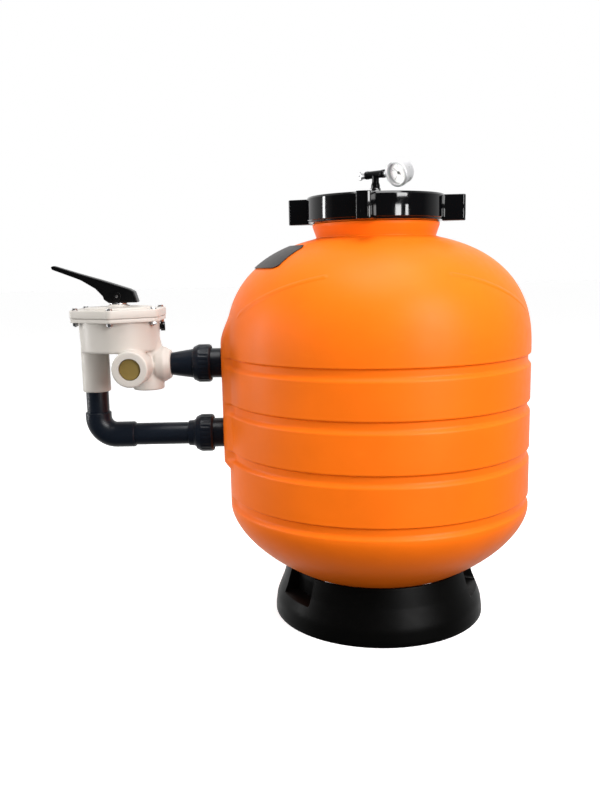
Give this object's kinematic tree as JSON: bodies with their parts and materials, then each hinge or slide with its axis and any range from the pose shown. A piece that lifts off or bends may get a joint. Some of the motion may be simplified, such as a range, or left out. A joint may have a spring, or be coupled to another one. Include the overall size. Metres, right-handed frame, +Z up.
{
  "type": "sand filter tank",
  "caption": "Side-mount pool sand filter: moulded tank on a flared stand, lock-ring lid with pressure gauge, six-way selector valve and side pipework.",
  "frame": {"origin": "middle of the whole part's footprint (tank, valve and handle), on the floor the stand rests on", "axes": "+Z up along the tank's axis, +X from the valve to the tank, -Y towards the side that carries the valve's plugged port"},
  "size_m": [1.019, 0.65, 0.9775],
  "materials": {
    "tank_plastic": "satin blow-moulded polyethylene, orange",
    "stand_plastic": "satin moulded black",
    "label_film": "dark grey printed film, blank",
    "black_plastic": "glossy moulded black",
    "seal_rubber": "black moulded rubber",
    "valve_plastic": "satin cream ABS",
    "port_plug_plastic": "olive-brown moulded plug",
    "steel": "plain stainless",
    "bright_metal": "bright plated metal",
    "gauge_glass": "clear window",
    "dial_face": "white printed dial",
    "inner_plastic": "natural off-white PVC and ABS"
  },
  "bodies": {
    "tank": {"tank_shell": "tank_plastic", "base_stand": "stand_plastic", "shoulder_label": "label_film", "upper_adaptor": "black_plastic", "lower_union_tail": "black_plastic", "elbow": "black_plastic", "lower_pipe": "black_plastic", "drop_pipe": "black_plastic", "upper_bulkhead": "black_plastic", "lower_bulkhead": "black_plastic", "upper_bulkhead_nut": "black_plastic", "lower_bulkhead_nut": "black_plastic", "gauge_port_plug": "black_plastic", "drain_spigot": "black_plastic", "upper_bulkhead_gasket": "seal_rubber", "lower_bulkhead_gasket": "seal_rubber", "upper_union_o_ring": "seal_rubber", "lower_union_o_ring": "seal_rubber", "cover_o_ring": "seal_rubber", "spider_gasket": "seal_rubber", "valve_body": "valve_plastic", "valve_cover": "valve_plastic", "cover_bolt_1": "steel", "cover_bolt_2": "steel", "cover_bolt_3": "steel", "cover_bolt_4": "steel", "cover_bolt_5": "steel", "cover_bolt_6": "steel", "inlet_pipe": "inner_plastic", "outlet_pipe": "inner_plastic", "top_diffuser": "inner_plastic", "lateral_hub": "inner_plastic", "lateral_1": "inner_plastic", "lateral_2": "inner_plastic", "lateral_3": "inner_plastic", "lateral_4": "inner_plastic", "lateral_5": "inner_plastic", "lateral_6": "inner_plastic", "lateral_7": "inner_plastic", "lateral_8": "inner_plastic"},
    "selector": {"handle_washer": "steel"},
    "rotor": {"rotor": "valve_plastic", "handle_pin": "steel", "rotor_spring": "steel"},
    "handle": {"handle": "black_plastic"},
    "lid": {"lid_dome": "black_plastic", "lid_o_ring": "seal_rubber", "gauge_tee": "black_plastic", "gauge_case": "bright_metal", "gauge_bezel": "bright_metal", "gauge_lens": "gauge_glass", "gauge_dial": "dial_face"},
    "lock_ring": {"lock_ring": "black_plastic"},
    "gauge_pointer": {"gauge_pointer": "black_plastic"},
    "bleed_screw": {"bleed_screw": "bright_metal"},
    "upper_union_nut": {"upper_union_nut": "black_plastic"},
    "lower_union_nut": {"lower_union_nut": "black_plastic"},
    "drain_cap": {"drain_cap": "black_plastic"},
    "front_port_plug": {"front_port_plug": "port_plug_plastic"}
  },
  "joints": [
    {"name": "selector_turn", "type": "hinge", "parent": "tank", "child": "selector", "pos_m": [-0.3705, 0, 0.6915], "axis": [0, 0, 1], "continuous": true},
    {"name": "rotor_lift", "type": "slide", "parent": "selector", "child": "rotor", "axis": [0, 0, 1], "range_m": [0, 0.007], "stiffness_N_per_m": 400, "springref_m": -0.01, "deforming": ["rotor_spring"]},
    {"name": "handle_press", "type": "hinge", "parent": "rotor", "child": "handle", "pos_m": [-0.3705, 0, 0.707], "axis": [0, -1, 0], "range_deg": [0, 20]},
    {"name": "lid_lift_off", "type": "slide", "parent": "tank", "child": "lid", "axis": [0, 0, 1], "range_m": [0, 0.2]},
    {"name": "lock_ring_turn", "type": "hinge", "parent": "lid", "child": "lock_ring", "pos_m": [0.1845, 0, 0.88], "axis": [0, 0, 1], "range_deg": [0, 720]},
    {"name": "gauge_needle", "type": "hinge", "parent": "lid", "child": "gauge_pointer", "pos_m": [0.2232, -0.05747, 0.94556], "axis": [0.6706, 0.6706, 0.3173], "range_deg": [0, 270]},
    {"name": "bleed_screw_turn", "type": "hinge", "parent": "lid", "child": "bleed_screw", "pos_m": [0.1845, 0, 0.95], "axis": [-0.7071, 0.7071, 0], "range_deg": [0, 720]},
    {"name": "upper_union_turn", "type": "hinge", "parent": "tank", "child": "upper_union_nut", "pos_m": [-0.19, 0, 0.559], "axis": [-1, 0, 0], "range_deg": [0, 720]},
    {"name": "lower_union_turn", "type": "hinge", "parent": "tank", "child": "lower_union_nut", "pos_m": [-0.19, 0, 0.405], "axis": [-1, 0, 0], "range_deg": [0, 720]},
    {"name": "drain_cap_turn", "type": "hinge", "parent": "tank", "child": "drain_cap", "pos_m": [0.1845, 0.3, 0.14], "axis": [0, 1, 0], "range_deg": [0, 720]},
    {"name": "front_plug_pull", "type": "slide", "parent": "tank", "child": "front_port_plug", "axis": [0, -1, 0], "range_m": [0, 0.05]}
  ],
  "couplings": [
    {"joint": "rotor_lift", "follows": "handle_press", "m_per_rad": 0.02}
  ]
}
